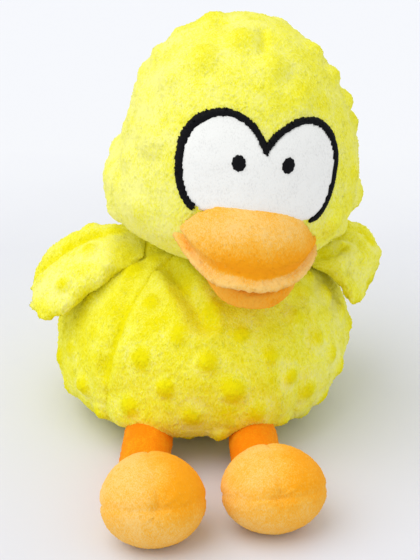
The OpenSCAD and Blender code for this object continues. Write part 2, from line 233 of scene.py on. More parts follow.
class DuckSettings(bpy.types.PropertyGroup):
    """All that a user would change."""

    minky: PointerProperty(type=MinkySettings)
    plush: PointerProperty(type=PlushSettings)
    face: PointerProperty(type=FaceSettings)
    stage: PointerProperty(type=StageSettings)
    frames: IntProperty(name="Swell frames", description="Frames of the stuffing simulation", default=20)


# Meshes as arrays in mm

def places(mesh, what="co"):
    flat = np.empty(len(mesh.vertices) * 3, np.float32)
    mesh.vertices.foreach_get(what, flat)
    return flat.reshape(-1, 3).astype(float) / (MM if what == "co" else 1)


def put(mesh, points):
    mesh.vertices.foreach_set("co", (points * MM).astype(np.float32).ravel())
    mesh.update()


def smoothstep(x, low, high):
    t = np.clip((x - low) / (high - low), 0, 1)
    return t * t * (3 - 2 * t)


def bell(x, width):
    """1 at 0, falling off softly on both sides within about width."""
    return np.exp(-((x / width) ** 2))


def by_side(x, right, left):
    """One value on the duck's right and another on its left."""
    return np.where(x < 0, right, left)


def lumps(points, size, seed):
    """Smooth noise from -1 to 1 at points, with lumps of about size mm."""
    shift = Vector((seed * 7.3, seed * 3.1, -seed * 5.7))
    return np.array([noise.noise(Vector(p) / size + shift) for p in points])


def new_piece(name, bm, material):
    bmesh.ops.recalc_face_normals(bm, faces=bm.faces)
    mesh = bpy.data.meshes.new(name)
    bm.to_mesh(mesh)
    bm.free()
    mesh.materials.append(material)
    mesh.shade_smooth()
    made = bpy.data.objects.new(name, mesh)
    bpy.context.scene.collection.objects.link(made)
    return made


def settle(made):
    """Makes what the modifiers give the piece's own mesh."""
    graph = bpy.context.evaluated_depsgraph_get()
    mesh = bpy.data.meshes.new_from_object(made.evaluated_get(graph))
    old, material = made.data, made.data.materials[0]
    made.modifiers.clear()
    made.data = mesh
    mesh.name = made.name
    mesh.materials.clear()
    mesh.materials.append(material)
    mesh.shade_smooth()
    bpy.data.meshes.remove(old)


def finer(made, levels):
    fine = made.modifiers.new("Finer cloth", "SUBSURF")
    fine.levels = fine.render_levels = levels
    settle(made)


def skin(name, nodes, voxel, material):
    """One even outer cloth round the solids of some CAD nodes."""
    bm = bmesh.new()
    for node in nodes:
        bm.from_mesh(frame["nodes"][node].data)
    bmesh.ops.remove_doubles(bm, verts=bm.verts, dist=1e-6)
    made = new_piece(name, bm, material)
    even = made.modifiers.new("Even cloth", "REMESH")
    even.mode = "VOXEL"
    even.voxel_size = voxel * MM
    settle(made)
    return made


def swell(made, pinned, cap, pressure=6.0, spare=0.0):
    """Swells a stuffed cloth by simulation, with its seams held and each point kept within cap mm."""
    start = places(made.data)
    made.data.transform(Matrix.Scale(SIM_SCALE, 4))
    held = made.vertex_groups.new(name="Seams")
    for weight in np.unique(pinned.round(1)):
        held.add([int(i) for i in np.nonzero(pinned.round(1) == weight)[0]], float(weight), "REPLACE")
    cloth = made.modifiers.new("Stuffing", "CLOTH")
    how = cloth.settings
    how.quality = 6
    how.mass = 0.05
    how.use_pressure = True
    how.uniform_pressure_force = pressure
    how.tension_stiffness = how.compression_stiffness = 8
    how.shear_stiffness = 4
    how.bending_stiffness = 0.3
    how.shrink_min = -spare
    how.effector_weights.gravity = 0
    how.vertex_group_mass = "Seams"
    cloth.collision_settings.use_collision = False
    frames = bpy.context.scene.duck.frames
    cloth.point_cache.frame_start, cloth.point_cache.frame_end = 1, frames
    for step in range(1, frames + 1):
        bpy.context.scene.frame_set(step)
    settle(made)
    bpy.context.scene.frame_set(1)
    made.vertex_groups.clear()
    moved = places(made.data) / SIM_SCALE - start
    far = np.linalg.norm(moved, axis=1, keepdims=True)
    put(made.data, start + moved * np.minimum(1, cap / np.maximum(far, 1e-9)))


def caster(made):
    bm = bmesh.new()
    bm.from_mesh(made.data)
    tree = BVHTree.FromBMesh(bm)
    bm.free()
    return tree


def cast(tree, start, way):
    """Where a ray in mm meets a surface, or None."""
    found = tree.ray_cast(Vector(start) * MM, Vector(way))
    return None if found[0] is None else np.array(found[0]) / MM


# Dots, pile, seams and folds of the cloth

def dot_places(tree, centre, up, rows, along, first, slant, rise):
    """Staggered rows of dots round a full form. rows holds the numbers of the lowest and highest row and their
    step in degrees of latitude, along the pitch in mm, first the longitude of a dot in row 0, slant its
    drift for each row above and rise the latitude of row 0."""
    up = np.array(up) / np.linalg.norm(up)
    front = np.array([0.0, -1.0, 0.0]) - up * -up[1]
    front /= np.linalg.norm(front)
    left = np.cross(up, -front)
    found = []
    low, high, step = rows
    for k in range(low, high + 1):
        latitude = math.radians(step * k + rise)
        ring = math.cos(latitude)
        if ring < 0.05:
            continue
        probe = cast(tree, centre, front * ring + up * math.sin(latitude))
        if probe is None:
            continue
        pitch = math.degrees(along / (np.linalg.norm(probe - centre) * ring))
        offset = first + slant * k + (pitch / 2 if k % 2 else 0)
        for j in range(math.ceil((-180 - offset) / pitch), math.floor((180 - offset) / pitch) + 1):
            turned = math.radians(offset + j * pitch)
            if turned > math.pi - math.radians(pitch) / 3:
                continue
            way = (front * math.cos(turned) + left * math.sin(turned)) * ring + up * math.sin(latitude)
            place = cast(tree, centre, way)
            if place is not None:
                found.append(place)
    return np.array(found)


def deepen(made, amount):
    """Adds to the depth of colour that the pile's material reads at each point: the cloth's own tone, and
    painted shade and painted light where the callers put them.
    """
    note = made.data.attributes.get("deep") or made.data.attributes.new("deep", "FLOAT", "POINT")
    held = np.empty(len(made.data.vertices), np.float32)
    note.data.foreach_get("value", held)
    note.data.foreach_set("value", (held + amount).astype(np.float32))


def push_out(made, lift):
    """Moves each point of a piece out along its normal, by lift in mm."""
    points, out = places(made.data), places(made.data, "normal")
    put(made.data, points + out * lift[:, None])


def raise_dots(made, dots, width, height, tint, seed, full=None):
    """Pushes soft uneven dots out of the cloth, with a shallow dip round each, and deepens their tops.
    full, where given, is each dot's share of the height and depth."""
    points = places(made.data)
    deep = np.zeros(len(points))
    lift = np.zeros(len(points))
    draw = np.random.default_rng(seed)
    for spot, share in zip(dots, np.ones(len(dots)) if full is None else full):
        spot = spot + draw.uniform(-0.9, 0.9, 3)
        near = np.linalg.norm(points - spot, axis=1)
        wide = width / 2 * draw.uniform(0.88, 1.12)
        tall = height * share * draw.uniform(0.55, 1.2)
        dark = tint * share * draw.uniform(0.5, 1.2)
        close = near < wide * 2.2
        d = near[close] / wide * (1 + 0.16 * lumps(points[close], 3.0, seed))
        lift[close] += tall * (1 - smoothstep(d, 0.1, 1.2) - 0.16 * bell(d - 1.4, 0.35))
        deep[close] += dark * (1 - smoothstep(d, 0.3, 1.0) - 0.32 * bell(d - 1.3, 0.35))
    push_out(made, lift)
    deepen(made, deep)


def nap(made, rough, seed, pile=1.0):
    """Uneven stuffing under the cloth, and the tufts of the pile itself."""
    points = places(made.data)
    draw = np.random.default_rng(seed)
    lift = rough * (0.9 * lumps(points, 26, seed) + 0.4 * lumps(points, 12, seed + 1))
    tufts = lumps(points, 1.4, seed + 3)
    lift += pile * (0.13 * tufts + draw.uniform(-0.1, 0.1, len(points)))
    lift += pile * draw.uniform(0.12, 0.38, len(points)) * (draw.random(len(points)) > 0.85)
    push_out(made, lift)
    deepen(made, pile * (-0.07 * tufts + 0.26 * lumps(points, 8, seed + 4)))


def from_seam(turned, ring, at):
    """Distance from a seam that runs down a round form at an angle in degrees."""
    off = (turned - math.radians(at) + math.pi) % (2 * math.pi) - math.pi
    return np.where(np.abs(off) < 1.2, ring * np.abs(np.sin(off)), ring)


def sew(made, distance, along, depth, width, pucker, seed):
    """Sinks a seam: distance is each point's distance from it and along its place on it, in mm."""
    pitch, wander = 4.6, 7.0
    wave = np.sin(along * 2 * math.pi / pitch + 2.5 * np.sin(along / wander + seed))
    push_out(made, -depth * bell(distance, width) - pucker * wave * bell(distance, 3.2 * width))


def stroke(made, path, depth, width, bulge=0.0):
    """Presses a soft fold along a path of points, with cloth that bulges on both sides of it, and paints shade
    into the bottom of the fold.
    """
    points = places(made.data)
    near = np.full(len(points), np.inf)
    path = np.array(path, float)
    for a, b in zip(path, path[1:]):
        t = np.clip((points - a) @ (b - a) / ((b - a) @ (b - a)), 0, 1)
        near = np.minimum(near, np.linalg.norm(points - a - t[:, None] * (b - a), axis=1))
    push_out(made, bulge * bell(near - 2.2 * width, 1.2 * width) - depth * bell(near, width))
    # Painted shade in the bottom of the fold
    deepen(made, 0.2 * bell(near, width))


def press(made, place, reach, depth):
    """Presses a wide hollow in towards the piece's inside, or out for a depth below 0."""
    far = np.linalg.norm((places(made.data) - np.array(place)) / np.array(reach), axis=1)
    push_out(made, -depth * bell(far, 1))


def above_floor(made):
    points = places(made.data)
    points[:, 2] = np.maximum(points[:, 2], FLOOR_GAP)
    put(made.data, points)


# Materials

def add(tree, kind, **values):
    """A shader node with its settings and the plain values of its sockets."""
    made = tree.nodes.new(kind)
    for key, value in values.items():
        if hasattr(made, key):
            setattr(made, key, value)
        else:
            made.inputs[key.replace("_", " ")].default_value = value
    return made


def shades(tree, fac, stops):
    """A colour ramp over fac from (place, colour) stops."""
    ramp = tree.nodes.new("ShaderNodeValToRGB")
    bar = ramp.color_ramp.elements
    while len(bar) < len(stops):
        bar.new(0.5)
    for spot, (place, shade) in zip(bar, stops):
        spot.position = place
        spot.color = (*shade, 1)
    tree.links.new(fac, ramp.inputs["Fac"])
    return ramp.outputs["Color"]


def reckon(tree, how, a, b, clamp=False):
    made = tree.nodes.new("ShaderNodeMath")
    made.operation = how
    made.use_clamp = clamp
    for socket, value in zip(made.inputs, (a, b)):
        if isinstance(value, (int, float)):
            socket.default_value = value
        else:
            tree.links.new(value, socket)
    return made.outputs[0]


def grain(tree, where, scale, detail, stretch=None, lean=(0.3, 0.5, 0.2)):
    """Noise over the cloth, by Object coordinates, stretched where the pile lies one way."""
    if stretch:
        lay = add(tree, "ShaderNodeMapping", Scale=stretch, Rotation=lean)
        tree.links.new(where, lay.inputs["Vector"])
        where = lay.outputs["Vector"]
    made = add(tree, "ShaderNodeTexNoise", Scale=scale, Detail=detail, Roughness=0.6)
    tree.links.new(where, made.inputs["Vector"])
    return made.outputs["Fac"]


def blank_material(name):
    """A new material with its node tree, its shader and the Object coordinates."""
    made = bpy.data.materials.new(name)
    made.use_nodes = True
    tree = made.node_tree
    where = tree.nodes.new("ShaderNodeTexCoord").outputs["Object"]
    return made, tree, tree.nodes["Principled BSDF"], where


def relief(tree, shader, height, strength, distance):
    """Fine relief of fibre ends or strands."""
    raised = add(tree, "ShaderNodeBump", Strength=strength, Distance=distance)
    tree.links.new(height, raised.inputs["Height"])
    tree.links.new(raised.outputs["Normal"], shader.inputs["Normal"])


def pile_material(name, shown, fibre, patch, bump, sheen, wear=None):
    """Short pile: patches that lie different ways, fine fibre ends, and the depth noted on the cloth, which
    holds painted shade and painted light as well as the cloth's own tone.
    shown holds its pale, middle and deep colours; fibre and patch are sizes in mm."""
    made, tree, shader, where = blank_material(name)
    pale, middle, deep = shown
    lay = grain(tree, where, 1 / (patch * MM), 3.0)
    ends = grain(tree, where, 1 / (fibre * MM), 2.0, (1.0, 1.0, 0.5))
    tufts = grain(tree, where, 1 / (fibre * 3.5 * MM), 3.0, (1.0, 1.0, 0.4), (1.1, -0.5, 0.8))
    tone = reckon(tree, "MULTIPLY", lay, 0.55)
    tone = reckon(tree, "ADD", tone, reckon(tree, "MULTIPLY", ends, 1.35))
    tone = reckon(tree, "ADD", tone, reckon(tree, "MULTIPLY", tufts, 0.5))
    tone = reckon(tree, "SUBTRACT", tone, 0.7)
    noted = add(tree, "ShaderNodeAttribute", attribute_name="deep")
    tone = reckon(tree, "SUBTRACT", tone, noted.outputs["Fac"], True)
    paint = shades(tree, tone, [(0.1, deep), (0.48, middle), (0.88, pale)])
    if wear:
        stain = shades(tree, grain(tree, where, 1 / (5 * MM), 4.0), [(0.70, (0, 0, 0)), (0.80, (1, 1, 1))])
        mixed = add(tree, "ShaderNodeMix", data_type="RGBA", blend_type="MULTIPLY")
        tree.links.new(reckon(tree, "MULTIPLY", stain, 0.3), mixed.inputs["Factor"])
        tree.links.new(paint, mixed.inputs["A"])
        mixed.inputs["B"].default_value = (*wear, 1)
        paint = mixed.outputs["Result"]
    tree.links.new(paint, shader.inputs["Base Color"])
    rough = reckon(tree, "ADD", reckon(tree, "MULTIPLY", ends, 0.2), 0.74)
    tree.links.new(rough, shader.inputs["Roughness"])
    shader.inputs["Specular IOR Level"].default_value = 0.12
    shader.inputs["Sheen Weight"].default_value = sheen
    shader.inputs["Sheen Roughness"].default_value = 0.5
    shader.inputs["Sheen Tint"].default_value = (*pale, 1)
    height = reckon(tree, "ADD", ends, reckon(tree, "MULTIPLY", tufts, 0.35))
    relief(tree, shader, height, bump, fibre * 1.2 * MM)
    return made


def thread_material(name, paint, gloss=0.42):
    """Twisted shiny thread: fine strands with small breaks in their gloss."""
    made, tree, shader, where = blank_material(name)
    strands = grain(tree, where, 1 / (0.5 * MM), 2.0)
    lift = tuple(min(1, c * 1.6 + 0.004) for c in paint)
    tree.links.new(shades(tree, strands, [(0.3, paint), (0.8, lift)]), shader.inputs["Base Color"])
    rough = reckon(tree, "ADD", reckon(tree, "MULTIPLY", strands, 0.25), gloss)
    tree.links.new(rough, shader.inputs["Roughness"])
    shader.inputs["Specular IOR Level"].default_value = 0.1
    relief(tree, shader, strands, 0.4, 0.25 * MM)
    return made


def finish_of(name):
    """The duck's materials, each made once."""
    if name in bpy.data.materials:
        return bpy.data.materials[name]
    duck = bpy.context.scene.duck
    m, p = duck.minky, duck.plush
    if name == "yellow minky":
        shown = (m.pale, m.middle, m.deep)
        return pile_material(name, shown, fibre=0.6, patch=15, bump=0.7, sheen=0.1)
    if name == "orange plush":
        shown, worn = (p.pale, p.middle, p.deep), linear(150, 100, 40)
        return pile_material(name, shown, fibre=0.45, patch=15, bump=0.45, sheen=0.12, wear=worn)
    # A darker copy of the orange plush: painted shade for the legs and lower bill
    if name == "orange plush in painted shade":
        shown = (p.middle, p.deep, p.shade)
        return pile_material(name, shown, fibre=0.45, patch=15, bump=0.45, sheen=0.05)
    if name == "white velour":
        white = tuple(duck.face.white)
        shown = (white, white, tuple(c * 0.86 for c in white))
        return pile_material(name, shown, fibre=0.5, patch=7, bump=0.3, sheen=0.05)
    if name == "black embroidery":
        return thread_material(name, tuple(duck.face.black))
    return thread_material(name, linear(240, 222, 60), 0.55)


# Placing on the face

def on_face(x, y, z):
    """Face coordinates to the row frame, in mm."""
    face = ((x, FACE_X), (y, FACE_Y), (z, FACE_Z))
    return HEAD_PIVOT + sum(np.multiply.outer(far, way) for far, way in face)


def drape(tree, x, z, height):
    """Lays points of the face plane on the head, height mm over it."""
    laid = []
    for a, b, h in zip(x, z, height):
        hit = tree.ray_cast(Vector(on_face(a, FACE_AHEAD, b)) * MM, Vector(FACE_Y))
        if hit[0] is None:
            raise RuntimeError("the face runs past the edge of the head")
        laid.append(np.array(hit[0]) / MM + np.array(hit[1]) * h)
    return np.array(laid)


def in_bill(points):
    """Row frame to the bill's own frame, its middle at the origin and its dome along Z."""
    p = points - HEAD_PIVOT
    x, y, z = p @ FACE_X, p @ FACE_Y + BILL_FRONT, p @ FACE_Z + BILL_DROP
    c, s = math.cos(BILL_PITCH), math.sin(BILL_PITCH)
    return np.stack([x, c * y + s * z, c * z - s * y], 1)


def join(bm, other):
    """Adds another bmesh to bm."""
    carrier = bpy.data.meshes.new("carrier")
    other.to_mesh(carrier)
    other.free()
    bm.from_mesh(carrier)
    bpy.data.meshes.remove(carrier)


def backed(bm, tree, flat, height, back):
    """Lays a flat cloth on the head and closes it with a back that lies under the head's own cloth."""
    top = list(bm.verts)
    grown = bmesh.ops.extrude_face_region(bm, geom=list(bm.faces))["geom"]
    under = [g for g in grown if isinstance(g, bmesh.types.BMVert)]
    where = {(round(v.co.x, 5), round(v.co.z, 5)): i for i, v in enumerate(top)}
    match = [where[round(v.co.x, 5), round(v.co.z, 5)] for v in under]
    front = drape(tree, flat[:, 0], flat[:, 1], height)
    behind = drape(tree, flat[:, 0], flat[:, 1], np.full(len(flat), back))
    for v, place in zip(top, behind):
        v.co = place * MM
    for v, i in zip(under, match):
        v.co = front[i] * MM


def turn_out(made):
    """Turns each closed shell of a thin piece the right way out, by the sign of its volume."""
    bm = bmesh.new()
    bm.from_mesh(made.data)
    left = set(bm.faces)
    while left:
        shell = [left.pop()]
        for face in shell:
            near = {other for edge in face.edges for other in edge.link_faces} & left
            left -= near
            shell.extend(near)
        middle = sum((face.calc_center_median() for face in shell), Vector()) / len(shell)
        if sum((f.calc_center_median() - middle).dot(f.normal) * f.calc_area() for f in shell) < 0:
            bmesh.ops.reverse_faces(bm, faces=shell)
    bm.to_mesh(made.data)
    bm.free()


def eye_edge(grow, tail, count):
    """Heart-topped outline of both lobes in the face plane, from the bill round to the bill."""
    f = bpy.context.scene.duck.face
    a, b = f.lobe_w / MM / 2 + grow, f.lobe_h / MM / 2 + grow
    x0, z0 = f.lobe_x / MM, f.lobe_z / MM
    notch = math.acos(min(1, x0 / a))
    t = np.linspace(math.pi + tail, notch, count)
    wide = np.where(np.sin(t) < 0, -np.sqrt(np.maximum(0, -np.cos(t))), np.cos(t))
    left = np.stack([-x0 + a * wide, z0 + b * np.sin(t)], 1)
    right = left[::-1] * (-1, 1)
    right = right * (0.96, 1) + np.outer(right[:, 0], (0, 0.06))
    for half in (left, right):
        half[:, 0] -= EYES_ASIDE + NOTCH_ASIDE * bell(half[:, 0], 11)
    return left, right


def from_lobe(points, grow=0.0, aside=0.0):
    """Distance from the nearer eye lobe, where 1 is its edge grown by so many mm."""
    f = bpy.context.scene.duck.face
    p = points - HEAD_PIVOT
    x = (np.abs(p @ FACE_X + aside) - f.lobe_x / MM) / (f.lobe_w / MM / 2 + grow)
    z = (p @ FACE_Z - f.lobe_z / MM) / (f.lobe_h / MM / 2 + grow)
    return np.hypot(x, z)


def within(x, z, loop):
    """Which points lie inside a closed line."""
    inside = np.zeros(len(x), bool)
    for (x0, z0), (x1, z1) in zip(loop, np.roll(loop, 1, axis=0)):
        crosses = (z0 > z) != (z1 > z)
        inside ^= crosses & (x < (x1 - x0) * (z - z0) / (z1 - z0 if z1 != z0 else 1e-9) + x0)
    return inside


class DUCK_OT_body(bpy.types.Operator):
    """Sews and stuffs the body: three panels and a base, with dots, seams and the fold under the bill"""

    bl_idname = "duck.body"
    bl_label = "Body"

    def execute(self, context):
        m = context.scene.duck.minky
        panels = ("front_panel", "side_panel_left", "side_panel_right", "base_panel", "stuffing")
        nodes = [f"body_{panel}" for panel in panels]
        made = skin("body_cover", nodes, 5.0, finish_of("yellow minky"))
        points = places(made.data)
        edge = np.min([d for d, _ in self.seam_distances(points)], axis=0)
        dish = smoothstep(np.linalg.norm(points - HEAD_PIVOT, axis=1), 54, 48.5)
        held = np.maximum.reduce([bell(edge, 3), bell(points[:, 2], 5), dish])
        swell(made, held, cap=3.0, spare=0.02)
        finer(made, 3)
        for distance, along in self.seam_distances(places(made.data)):
            share = 0.3 + 0.45 * smoothstep(places(made.data)[:, 0], 10, -10)
            sew(made, distance, along, depth=share, width=0.9, pucker=0.25 * share, seed=1.0)
            deepen(made, share * (0.25 * bell(distance, 0.9) - 0.1 * bell(distance - 3, 1.6)))
        for _, name in SIDES:
            hip = joint_at(f"leg_{name}_swing")
            press(made, (hip[0], -54, 17), reach=(15, 12, 9), depth=-3.6)
        self.slump(made)
        for hollow in BODY_HOLLOWS.values():
            press(made, *hollow)
        for fold in BODY_FOLDS.values():
            stroke(made, *fold)
        rows, middle = (-4, 7, 10.4), np.array([0, 0, 30.0])
        pitch = m.body_row / MM
        dots = dot_places(caster(made), middle, (0, 0, 1), rows, pitch, first=4.5, slant=-2.1, rise=-5.0)
        dots = dots[np.min([d for d, _ in self.seam_distances(dots)], axis=0) > 3]
        full = 0.55 + 0.45 * smoothstep(dots[:, 2] - 0.35 * dots[:, 0], 66, 34)
        raise_dots(made, dots, m.dot_width / MM * 1.15, m.dot_height / MM * 1.2, tint=0.58, seed=5, full=full)
        nap(made, rough=1.1, seed=3)
        points = places(made.data)
        deepen(made, 0.2 - 0.22 * smoothstep(points[:, 0], 10, 45) - 0.1 * smoothstep(points[:, 2], 40, 10))
        above_floor(made)
        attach(made, "torso")
        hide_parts(*nodes)
        return {"FINISHED"}

    @staticmethod
    def slump(made):
        """Draws the sides in, the left one more, and lets the lower half lean to the duck's right."""
        points = places(made.data)
        low = smoothstep(points[:, 2], 36, 8)
        points[:, 0] = by_side(points[:, 0], 0.985, 0.955) * points[:, 0] - 2.2 * low
        put(made.data, points)

    @staticmethod
    def seam_distances(points):
        """Distance from, and place along, the two front seams and the one behind."""
        turned = np.arctan2(points[:, 0], -points[:, 1])
        ring = np.hypot(points[:, 0], points[:, 1])
        along = points[:, 2] + 0.5 * ring
        return [(from_seam(turned, ring, at), along) for at in (-40, 40, 180)]


class DUCK_OT_head(bpy.types.Operator):
    """Sews and stuffs the head: face panel and back, with dots, the crown's dart and the neck's thread"""

    bl_idname = "duck.head"
    bl_label = "Head"

    def execute(self, context):
        m = context.scene.duck.minky
        nodes = ["head_front_panel", "head_back_panel", "head_stuffing"]
        made = skin("head_cover", nodes, 5.0, finish_of("yellow minky"))
        points = places(made.data)
        distance = self.seam_distance(points)[0]
        neck = smoothstep(-(points - HEAD_PIVOT) @ HEAD_UP, 30, 42)
        swell(made, np.maximum(bell(distance, 3), neck), cap=2.6, spare=0.02)
        finer(made, 3)
        for hollow in HEAD_HOLLOWS.values():
            press(made, *hollow)
        sew(made, *self.seam_distance(places(made.data)), depth=1.0, width=1.3, pucker=0.25, seed=2.0)
        stroke(made, *CROWN_DART)
        rows, pitch = (-8, 3, 14.9), m.head_row / MM
        dots = dot_places(caster(made), HEAD_PIVOT, HEAD_UP, rows, pitch, first=8.3, slant=-1.3, rise=42.6)
        dots = dots[self.clear_of_face(dots) & (self.seam_distance(dots)[0] > 3)]
        full = 0.6 + 0.4 * smoothstep(dots[:, 0], -36, 0)
        raise_dots(made, dots, m.dot_width / MM * 1.5, m.dot_height / MM * 1.7, tint=0.14, seed=6, full=full)
        nap(made, rough=0.75, seed=11, pile=1 - self.behind_patch(places(made.data)))
        # A little paler all over, and painted paler towards the duck's right, where the light falls: painted
        # light
        deepen(made, -0.06 - 0.26 * smoothstep(-places(made.data)[:, 0], -5, 35))
        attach(made, "head")
        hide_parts(*nodes)
        self.neck_thread()
        return {"FINISHED"}

    @staticmethod
    def clear_of_face(dots):
        """Which dots lie behind the face, or clear of its eyes and bill."""
        p = dots - HEAD_PIVOT
        bill = np.hypot(p @ FACE_X / 34, (p @ FACE_Z + 20) / 22)
        return (p @ FACE_Y >= 0) | (from_lobe(dots, grow=6) >= 1) & (bill >= 1)

    @staticmethod
    def behind_patch(points):
        """How far each point lies behind the eye patch, where no pile stands up."""
        behind = smoothstep(from_lobe(points, aside=EYES_ASIDE), 1.08, 1.0)
        return behind * ((points - HEAD_PIVOT) @ FACE_Y < 0)

    @staticmethod
    def seam_distance(points):
        """Distance from, and place along, the seam between face panel and back."""
        p = points - HEAD_PIVOT
        left = np.cross(HEAD_UP, (0, 1, 0))
        left = -left / np.linalg.norm(left)
        back = np.cross(HEAD_UP, left)
        x, y, z = p @ left, p @ back, p @ HEAD_UP
        turned = np.arctan2(x, -y) - math.radians(13.5)
        ring = np.hypot(x, y)
        return np.min([from_seam(turned, ring, at) for at in (-100, 100)], axis=0), z + 0.5 * ring

    @staticmethod
    def neck_thread():
        """A ring of slanting stitches that closes the neck."""
        low, high = (np.array(v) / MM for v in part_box("neck_seam"))
        middle = (low + high) / 2
        radius = (high - low)[1] / 2 - 0.7
        count, slant, stitch = 26, math.radians(62), (0.55, 0.55, 2.0, 1)
        bm = bmesh.new()
        lean = Vector((0, 0, 1)).rotation_difference(Vector(HEAD_UP)).to_matrix().to_4x4()
        for i in range(count):
            made = bmesh.ops.create_icosphere(bm, subdivisions=1, radius=1.0)
            place = Matrix.Rotation(2 * math.pi * i / count, 4, "Z") @ Matrix.Translation((radius, 0, 0))
            place = place @ Matrix.Rotation(slant, 4, "X") @ Matrix.Diagonal(stitch)
            bmesh.ops.transform(bm, matrix=place, verts=made["verts"])
        place = Matrix.Scale(MM, 4) @ Matrix.Translation(middle) @ lean
        bmesh.ops.transform(bm, matrix=place, verts=bm.verts)
        made = new_piece("neck_thread", bm, finish_of("yellow thread"))
        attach(made, "neck")
        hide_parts("neck_seam")


class DUCK_OT_eyes(bpy.types.Operator):
    """Lays the white eye patch on the head and embroiders its outline and the pupils"""

    bl_idname = "duck.eyes"
    bl_label = "Eyes"

    def execute(self, context):
        f = context.scene.duck.face
        tree = caster(bpy.data.objects["head_cover"])
        self.patch(tree)
        self.outline(tree, f)
        for side, name in SIDES:
            self.pupil(tree, f, side, name)
        return {"FINISHED"}

    @staticmethod
    def patch(tree):
        left, right = eye_edge(grow=-0.2, tail=math.radians(88), count=48)
        loop = np.concatenate([left, right[1:]])
        low, high = loop.min(axis=0), loop.max(axis=0)
        many = np.ceil((high - low) / 0.8).astype(int)
        bm = bmesh.new()
        bmesh.ops.create_grid(bm, x_segments=int(many[0]), y_segments=int(many[1]), size=0.5)
        for v in bm.verts:
            x, z = low + (np.array(v.co.xy) + 0.5) * (high - low)
            v.co = (x, 0, z)
        middles = np.array([f.calc_center_median() for f in bm.faces])
        outside = ~within(middles[:, 0], middles[:, 2], loop)
        bmesh.ops.delete(bm, geom=[f for f, out in zip(list(bm.faces), outside) if out], context="FACES")
        flat = np.array([(v.co.x, v.co.z) for v in bm.verts])
        rim = np.array([v.is_boundary for v in bm.verts])
        height = np.where(rim, -0.1, PATCH_HEIGHT + 0.08 * lumps(np.c_[flat, flat[:, :1]], 4, 8))
        backed(bm, tree, flat, height, back=-0.8)
        made = new_piece("eye_white", bm, finish_of("white velour"))
        turn_out(made)
        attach(made, "head")
        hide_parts("eye_patch")

    @staticmethod
    def outline(tree, f):
        half, pitch = f.outline_w / MM / 2, f.stitch / MM
        steps = 4
        draw = np.random.default_rng(21)
        bm = bmesh.new()
        for lobe in eye_edge(grow=0.35, tail=math.radians(72), count=200):
            step = np.r_[0, np.cumsum(np.linalg.norm(np.diff(lobe, axis=0), axis=1))]
            total = step[-1] + 1.6
            count = int(total / pitch * steps)
            along = np.linspace(0, total, count + 1)
            line = np.stack([np.interp(along, step, lobe[:, i]) for i in (0, 1)], 1)
            over = along > step[-1]
            way = (lobe[-1] - lobe[-4]) / np.linalg.norm(lobe[-1] - lobe[-4])
            line[over] = lobe[-1] + way * (along[over] - step[-1])[:, None]
            tangent = np.gradient(line, axis=0)
            tangent /= np.linalg.norm(tangent, axis=1)[:, None]
            side = np.stack([-tangent[:, 1], tangent[:, 0]], 1)
            ragged = draw.uniform(-0.18, 0.18, (count // steps + 2, 2))
            ragged = np.repeat(ragged, steps, axis=0)[: count + 1]
            taper = smoothstep(total - along, -0.4, 2.6)
            strip = bmesh.new()
            grid = bmesh.ops.create_grid(strip, x_segments=count, y_segments=8, size=1.0)["verts"]
            u = np.array([v.co.x for v in grid]) / 2 + 0.5
            w = np.array([v.co.y for v in grid])
            at = np.clip((u * count).round().astype(int), 0, count)
            reach = half + np.where(w < 0, ragged[at, 0], ragged[at, 1])
            reach *= (0.35 + 0.65 * taper[at]) * (1 - 0.004 * line[at, 0])
            flat = line[at] + side[at] * (w * reach)[:, None]
            ridge = 0.13 * np.abs(np.sin(math.pi * along[at] / pitch + 0.35 * w))
            height = 0.1 + 1.15 * np.sqrt(np.maximum(0, 1 - w * w * 0.98)) + ridge
            for v, place in zip(grid, flat):
                v.co = (place[0], 0, place[1])
            backed(strip, tree, flat, height, back=-0.6)
            join(bm, strip)
        made = new_piece("eye_embroidery", bm, finish_of("black embroidery"))
        turn_out(made)
        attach(made, "head")
        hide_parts("eye_outline")

    @staticmethod
    def pupil(tree, f, side, name):
        low, high = (np.array(v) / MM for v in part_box("pupil_" + name))
        middle = (low + high) / 2 - HEAD_PIVOT
        across, up = PUPIL_NUDGE[name]
        x0, z0 = middle @ FACE_X + across, middle @ FACE_Z + up
        bm = bmesh.new()
        bmesh.ops.create_uvsphere(bm, u_segments=48, v_segments=24, radius=1.0)
        p = np.array([v.co for v in bm.verts])
        turned = np.arctan2(p[:, 0], p[:, 1])
        grow = 1 + 0.05 * np.sin(9 * turned + side) + 0.03 * np.sin(17 * turned)
        x = x0 + p[:, 0] * grow * f.pupil_w / MM / 2
        z = z0 + p[:, 1] * grow * f.pupil_h / MM / 2
        ridge = 0.08 * np.sin(2 * math.pi * (0.9 * x + 0.35 * z) / (f.stitch / MM))
        height = PATCH_HEIGHT + p[:, 2] * np.where(p[:, 2] > 0, 0.85 + ridge, 0.5)
        for v, place in zip(bm.verts, drape(tree, x, z, height)):
            v.co = place * MM
        made = new_piece("pupil_embroidery_" + name, bm, finish_of("black embroidery"))
        turn_out(made)
        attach(made, "head")
        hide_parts("pupil_" + name)


